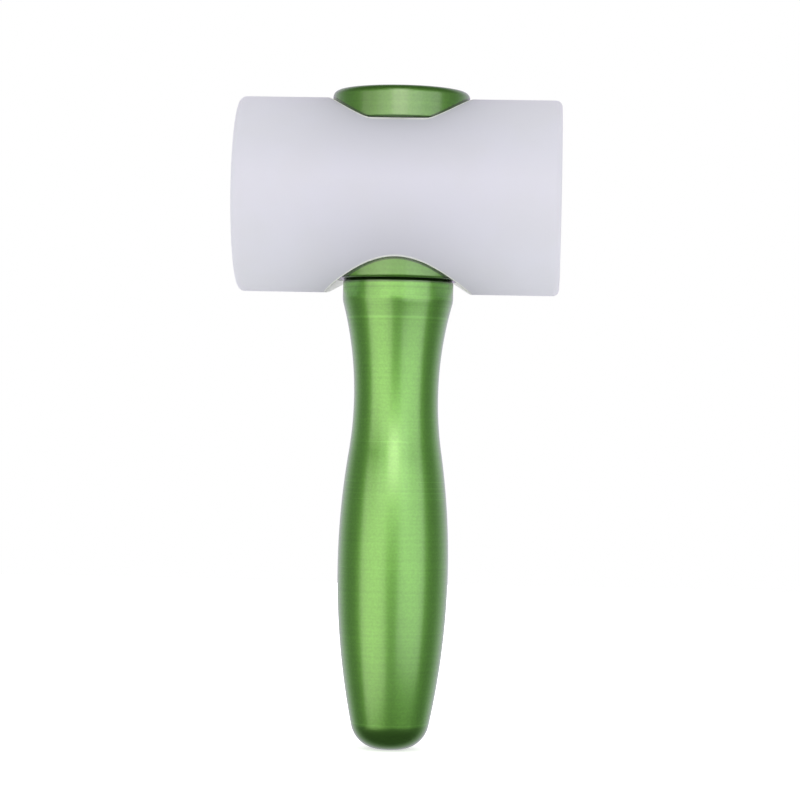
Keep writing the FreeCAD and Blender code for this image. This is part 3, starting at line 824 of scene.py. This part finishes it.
def bar_row(inner, turn):
    """One row from an opening's edge to the middle of the striking face, at a turn from the top."""
    sine, cosine = math.sin(turn), math.cos(turn)
    straight = HEAD_HALF_LENGTH - HEAD_EDGE_RADIUS
    row = [(x, HEAD_RADIUS * sine, HEAD_RADIUS * cosine) for x in spaced(inner, straight, BAR_STEPS)]
    for lean in spaced(0, math.pi / 2, CORNER_STEPS)[1:]:
        radius = HEAD_RADIUS - HEAD_EDGE_RADIUS * (1 - math.cos(lean))
        row.append((straight + HEAD_EDGE_RADIUS * math.sin(lean), radius * sine, radius * cosine))
    flat = HEAD_RADIUS - HEAD_EDGE_RADIUS
    for radius in spaced(flat, 0, FACE_STEPS)[1:]:
        row.append((HEAD_HALF_LENGTH, radius * sine, radius * cosine))
    return row


def line_between(start, stop, steps):
    """Evenly spaced points from start to stop, both ends kept."""
    start, stop = Vector(start), Vector(stop)
    return [start.lerp(stop, share) for share in spaced(0, 1, steps)]


def quarter_strips():
    """The head's strips for x and y above zero, then its pockets' edges, then their walls."""
    edge_y = math.sqrt(HEAD_RADIUS ** 2 - UPPER_FLOOR ** 2)
    corner_x = math.sqrt(POCKET_RADIUS ** 2 - edge_y ** 2)
    corner_turn = math.asin(edge_y / POCKET_RADIUS)
    bar, roll, wall, floor, bore_top = [], [], [], [], []

    # Upper pocket's arc: from the middle of the head's top out to the floor's open corner
    for turn in spaced(0, corner_turn, ARC_ROWS):
        sine, cosine = math.sin(turn), math.cos(turn)
        rim = on_bar(POCKET_RADIUS * cosine, POCKET_RADIUS * sine)
        # The rounding shrinks where the wall is too low for it
        room = max(0.0, rim[2] - UPPER_FLOOR)
        rounded = RIM_BREAK * min(1.0, room / (2 * RIM_BREAK))
        outer = POCKET_RADIUS + rounded
        start = on_bar(outer * cosine, outer * sine)
        foot = (rim[0], rim[1], rim[2] - rounded)
        base = (rim[0], rim[1], UPPER_FLOOR)
        bar.append(bar_row(start[0], math.atan2(start[1], start[2])))
        roll.append(bent(start, rim, foot))
        wall.append(line_between(foot, base, UPPER_WALL_STEPS))
        floor.append(line_between(base, on_round(BORE_RADIUS, turn, UPPER_FLOOR), FLOOR_STEPS))
        bore_top.append(turn)

    # Open side of the upper pocket: the floor's straight edge, rounded over onto the bar
    lower_outer = POCKET_RADIUS + RIM_BREAK
    low_turn = math.pi - math.asin(lower_outer / HEAD_RADIUS)
    edge_floor, edge_roll, edge_starts = [], [], []
    for share in spaced(1, 0, EDGE_ROWS):
        across = corner_x * share
        # The rounding shrinks towards the corner, to meet the arc's there
        rounded = RIM_BREAK * min(1.0, (corner_x - across) / (3 * RIM_BREAK))
        turn = math.atan2(edge_y, UPPER_FLOOR) + rounded / HEAD_RADIUS
        corner = (across, edge_y, UPPER_FLOOR)
        lip = (across, edge_y - rounded, UPPER_FLOOR)
        start = (across, HEAD_RADIUS * math.sin(turn), HEAD_RADIUS * math.cos(turn))
        edge_roll.append(bent(start, corner, lip))
        facing = math.atan2(lip[1], lip[0])
        edge_floor.append(line_between(lip, on_round(BORE_RADIUS, facing, UPPER_FLOOR), FLOOR_STEPS))
        edge_starts.append((share, turn))
        bore_top.append(facing)
    bore_top.pop(ARC_ROWS)

    # The bar's side, from the floor's edge down to the lower pocket's nearest point
    top_turn = math.atan2(edge_y, UPPER_FLOOR)
    side, middle = [], []
    for share in spaced(0, 1, SIDE_ROWS):
        inner = corner_x * (1 - share)
        turn = top_turn + (low_turn - top_turn) * share
        side.append(bar_row(inner, turn))
        row = []
        for across, start_turn in edge_starts:
            bowed = start_turn + (low_turn - start_turn) * share
            row.append((inner * across, HEAD_RADIUS * math.sin(bowed), HEAD_RADIUS * math.cos(bowed)))
        middle.append(row)

    # Lower pocket: its rim closes all the way round under the bar
    low_bar, low_roll, low_wall, low_floor, bore_foot = [], [], [], [], []
    for turn in spaced(0, math.pi / 2, ARC_ROWS + EDGE_ROWS):
        sine, cosine = math.sin(turn), math.cos(turn)
        start = on_bar(lower_outer * cosine, lower_outer * sine, -1)
        rim = on_bar(POCKET_RADIUS * cosine, POCKET_RADIUS * sine, -1)
        foot = (rim[0], rim[1], rim[2] + RIM_BREAK)
        base = (rim[0], rim[1], LOWER_FLOOR)
        low_bar.append(bar_row(start[0], math.atan2(start[1], start[2])))
        low_roll.append(bent(start, rim, foot))
        low_wall.append(line_between(foot, base, LOWER_WALL_STEPS))
        low_floor.append(line_between(base, on_round(BORE_RADIUS, turn, LOWER_FLOOR), FLOOR_STEPS))
        bore_foot.append(turn)

    # Bore: its points fan from the upper rows to the lower ones
    bore = []
    for upper_turn, lower_turn in zip(bore_top, bore_foot):
        column = []
        for share in spaced(0, 1, BORE_STEPS):
            turn = upper_turn + (lower_turn - upper_turn) * share
            height = UPPER_FLOOR + (LOWER_FLOOR - UPPER_FLOOR) * share
            column.append(on_round(BORE_RADIUS, turn, height))
        bore.append(column)
    return ([bar, floor, edge_floor, side, middle, low_bar, low_floor, bore],
            [roll, edge_roll, low_roll], [wall, low_wall])


def make_head():
    """Mirrors the quarter's strips four ways, closes them and gives each kind its finish."""
    build = bmesh.new()
    for slot_index, strips in enumerate(quarter_strips()):
        for strip, flip_x, flip_y in itertools.product(strips, (1, -1), (1, -1)):
            rows = []
            for row in strip:
                places = [(x * flip_x * MM, y * flip_y * MM, (z + HEAD_AXIS) * MM) for x, y, z in row]
                rows.append([build.verts.new(place) for place in places])
            for first, second in zip(rows, rows[1:]):
                for index in range(len(first) - 1):
                    corners = (first[index], first[index + 1], second[index + 1], second[index])
                    build.faces.new(corners).material_index = slot_index
    bmesh.ops.remove_doubles(build, verts=build.verts, dist=HEAD_MERGE * MM)
    bmesh.ops.dissolve_degenerate(build, edges=build.edges, dist=SLIVER * MM)
    bmesh.ops.recalc_face_normals(build, faces=build.faces)
    for face in build.faces:
        face.smooth = True
    for edge in build.edges:
        if len(edge.link_faces) == 2 and edge.calc_face_angle() > CREASE_ANGLE:
            edge.smooth = False
    piece = new_piece("nylon_head")
    build.to_mesh(piece.data)
    build.free()
    # The rims' rollovers and the pockets' walls take the painted lit copies
    for material in (head_nylon, lit_nylon_edge, lit_nylon_wall):
        piece.data.materials.append(material)
    finished(piece, "nylon", "head")


make_handle()
make_lower_disc()
make_top_cap()
make_head()


# The solids that keep their own shape take their finishes
KEPT_SOLIDS = [
    ("core_spacer", bare_aluminium),
    ("flat_washer", zinc_steel),
    ("lock_washer", zinc_steel),
    ("clamp_bolt", black_steel),
]
for node_name, material in KEPT_SOLIDS:
    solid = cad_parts[node_name]
    solid.data.materials.clear()
    solid.data.materials.append(material)


# The bolt head's fine ridges for the fingers
RIDGE_COUNT = 48
RIDGE_WIDTH = 0.36
RIDGE_DEPTH = 0.24


def make_knurling():
    """Upright ridges round a cylinder, as a piece of their own. Start is the piece's empty mesh, which
    the tree does not use.
    """
    bench, given, result = new_group("knurling", "GeometryNodeTree", [
        ("Start", MESH, None),
        ("Count", WHOLE, 12),
        ("Radius", FLOAT, 0.0),
        ("Foot", FLOAT, 0.0),
        ("Width", FLOAT, 0.0),
        ("Height", FLOAT, 0.0),
        ("Finish", MATERIAL, None),
    ], [("Piece", MESH)])
    circle = bench.add("GeometryNodeMeshCircle", {
        "Vertices": given["Count"], "Radius": given["Radius"]}).outputs[0]
    half = bench.math("MULTIPLY", given["Height"], 0.5)
    middle = bench.math("ADD", given["Foot"], half)
    lift = bench.add("ShaderNodeCombineXYZ", {"Z": middle}).outputs[0]
    raised = bench.add("GeometryNodeSetPosition", {"Geometry": circle, "Offset": lift}).outputs[0]
    size = bench.add("ShaderNodeCombineXYZ", {
        "X": given["Width"], "Y": given["Width"], "Z": given["Height"]}).outputs[0]
    ridge = bench.add("GeometryNodeMeshCube", {"Size": size}).outputs["Mesh"]
    index = bench.add("GeometryNodeInputIndex").outputs[0]
    turn = bench.math("MULTIPLY", bench.math("DIVIDE", index, given["Count"]), math.tau)
    edge_out = bench.math("ADD", turn, math.pi / 4)
    facing = bench.add("ShaderNodeCombineXYZ", {"Z": edge_out}).outputs[0]
    placed = bench.add("GeometryNodeInstanceOnPoints", {
        "Points": raised, "Instance": ridge, "Rotation": facing}).outputs[0]
    bench.feed(result["Piece"], dressed(bench, placed, given["Finish"]))

    piece = new_piece("bolt_knurling")
    run_tree(piece, bench.tree, {
        "Count": RIDGE_COUNT,
        "Radius": (BOLT_HEAD_RADIUS - RIDGE_WIDTH * math.sqrt(0.5) + RIDGE_DEPTH / 2) * MM,
        "Foot": BOLT_SEAT * MM,
        "Width": RIDGE_WIDTH * MM,
        "Height": (BOLT_HEAD_HEIGHT - BOLT_HEAD_CHAMFER) * MM,
        "Finish": black_steel,
    })
    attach(piece, "root")


make_knurling()


# Floor: how far it reaches, where its shadow's fade begins and ends, and how it shines
WHITE = (1.0, 1.0, 1.0, 1.0)
FLOOR_REACH = 900
FADE_START = 40
FADE_END = 300
FLOOR_GLOW = 0.6
TABLE_LIGHT = 0.06
FLOOR_TONE = (0.96, 0.96, 0.96, 1.0)


def make_floor():
    """A pale floor: it keeps a soft shadow, and in the camera it fades into the white around."""
    corners = [(x * FLOOR_REACH, y * FLOOR_REACH, 0) for x, y in ((-1, -1), (1, -1), (1, 1), (-1, 1))]
    piece = new_piece("floor", corners, [(0, 1, 2, 3)])
    material = bpy.data.materials.new("pale_floor")
    material.use_nodes = True
    material.node_tree.nodes.clear()
    bench = Bench(material.node_tree)
    path = bench.add("ShaderNodeLightPath").outputs
    place = place_coordinates(bench)
    out = bench.add("ShaderNodeVectorMath", {0: place}, operation="LENGTH").outputs["Value"]
    glow = bench.ramp(out, FADE_START * MM, FADE_END * MM, FLOOR_GLOW, 1.0)
    seen = bench.math("MAXIMUM", path["Is Camera Ray"], path["Is Transmission Ray"])
    matte = bench.add("ShaderNodeBsdfDiffuse", {"Color": FLOOR_TONE}).outputs[0]
    from_below = bench.math("MULTIPLY", path["Is Diffuse Ray"], TABLE_LIGHT)
    shine = bench.math("ADD", bench.math("MULTIPLY", glow, seen), from_below)
    lit = bench.add("ShaderNodeEmission", {"Color": WHITE, "Strength": shine}).outputs[0]
    both = bench.add("ShaderNodeAddShader", {0: matte, 1: lit}).outputs[0]
    bench.add("ShaderNodeOutputMaterial", {"Surface": both})
    piece.data.materials.append(material)
    piece.visible_glossy = False
    piece.visible_shadow = False


# World: its light, and what reflections show of the backdrop behind and the dim studio around.
# Each pair holds two values of a direction's Y or Z, between which one thing turns into another
AMBIENT = 0.815
STUDIO_SIDES = 0.17
STUDIO_DARK = 0.05
STUDIO_SPAN = (0.1, 0.8)
BACKDROP_LOW = 0.5
BACKDROP_SHINE = 0.7
BACKDROP_FOOT = (-0.7, -0.1)
BACKDROP_EDGE = (0.2, 0.85)
BACKDROP_TINT = (1.03, 0.88, 1.18)


def make_world():
    """White to the camera. In reflections it is white behind the object and dim around it."""
    world = bpy.data.worlds.new("studio")
    world.use_nodes = True
    bpy.context.scene.world = world
    bench = Bench(world.node_tree)
    path = bench.add("ShaderNodeLightPath").outputs
    facing = bench.split(bench.add("ShaderNodeTexCoord").outputs["Generated"])
    rise = bench.math("ABSOLUTE", facing["Z"])
    around = bench.ramp(rise, *STUDIO_SPAN, STUDIO_SIDES, STUDIO_DARK)
    backdrop = bench.ramp(facing["Z"], *BACKDROP_FOOT, BACKDROP_LOW, BACKDROP_SHINE)
    mirrored = bench.ramp(facing["Y"], *BACKDROP_EDGE, around, backdrop)
    seen = bench.math("MAXIMUM", path["Is Camera Ray"], path["Is Transmission Ray"])
    level = bench.mix(seen, bench.mix(path["Is Glossy Ray"], AMBIENT, mirrored), 1.0)
    behind = bench.ramp(facing["Y"], *BACKDROP_EDGE)
    tinted = bench.math("MULTIPLY", path["Is Glossy Ray"], behind)
    background = world.node_tree.nodes["Background"]
    bench.feed(background.inputs["Color"], bench.blend(tinted, WHITE, opaque(BACKDROP_TINT)))
    bench.feed(background.inputs["Strength"], level)


# Softboxes: turn from the front and rise above the middle, in degrees; distance, width and height, in
# millimetres; shine; tint; and whether one lights matte surfaces or shows in reflections alone
ROSY = (1.18, 1.0, 1.14)
WARM = (1.26, 1.0, 1.13)
LILAC = (1.22, 1.0, 1.27)
PINK = (1.4, 1.0, 1.3)
COOL = (0.86, 0.88, 1.0)
SOFTBOXES = [
    ("left_softbox", -40, -9, 900, 950, 740, 1.17, WARM, False),
    ("right_softbox", 42.5, -2, 900, 980, 740, 1.09, LILAC, False),
    ("middle_softbox", 0, -8, 900, 400, 710, 0.18, ROSY, False),
    ("middle_band", 0, 6, 900, 400, 220, 0.38, LILAC, False),
    ("high_band", 0, 17, 900, 1280, 260, 0.68, ROSY, False),
    ("front_softbox", 0, 18, 850, 400, 225, 1.85, PINK, False),
    ("top_softbox", 0, 33, 880, 500, 280, 1.5, ROSY, False),
    ("key_panel", -10, 20, 900, 900, 500, 0.055, COOL, True),
]
AIM = Vector((0.0, 0.0, 100.0))


def make_lamp(name, turn, rise, distance, width, height, shine, tint, is_matte):
    """A softbox that faces AIM and lights either matte surfaces or reflections alone."""
    lamp = bpy.data.lights.new(name, "AREA")
    lamp.shape = "RECTANGLE"
    lamp.size = width * MM
    lamp.size_y = height * MM
    lamp.energy = shine * math.pi * lamp.size * lamp.size_y
    lamp.color = tint
    holder = bpy.data.objects.new(name, lamp)
    bpy.context.scene.collection.objects.link(holder)
    turn, rise = math.radians(turn), math.radians(rise)
    away = Vector((math.sin(turn) * math.cos(rise), -math.cos(turn) * math.cos(rise), math.sin(rise)))
    holder.location = (AIM + away * distance) * MM
    holder.rotation_euler = away.to_track_quat("Z", "Y").to_euler()
    holder.visible_camera = False
    holder.visible_diffuse = is_matte
    holder.visible_glossy = not is_matte


# Camera: the photograph's place, found from the head's and the handle's outlines
CAMERA_PLACE = Vector((39.19, -850.41, 98.59))
CAMERA_TURN = (90.5903, -1.1172, 2.5439)
LENS = 124.335
SENSOR_WIDTH = 36.0


def make_camera():
    """Sets the camera up in its place."""
    camera = bpy.data.cameras.new("camera")
    camera.lens = LENS
    camera.sensor_width = SENSOR_WIDTH
    holder = bpy.data.objects.new("camera", camera)
    bpy.context.scene.collection.objects.link(holder)
    holder.location = CAMERA_PLACE * MM
    holder.rotation_euler = [math.radians(angle) for angle in CAMERA_TURN]
    bpy.context.scene.camera = holder


make_floor()
make_world()
for softbox in SOFTBOXES:
    make_lamp(*softbox)
make_camera()
bpy.context.scene.view_settings.view_transform = "Standard"
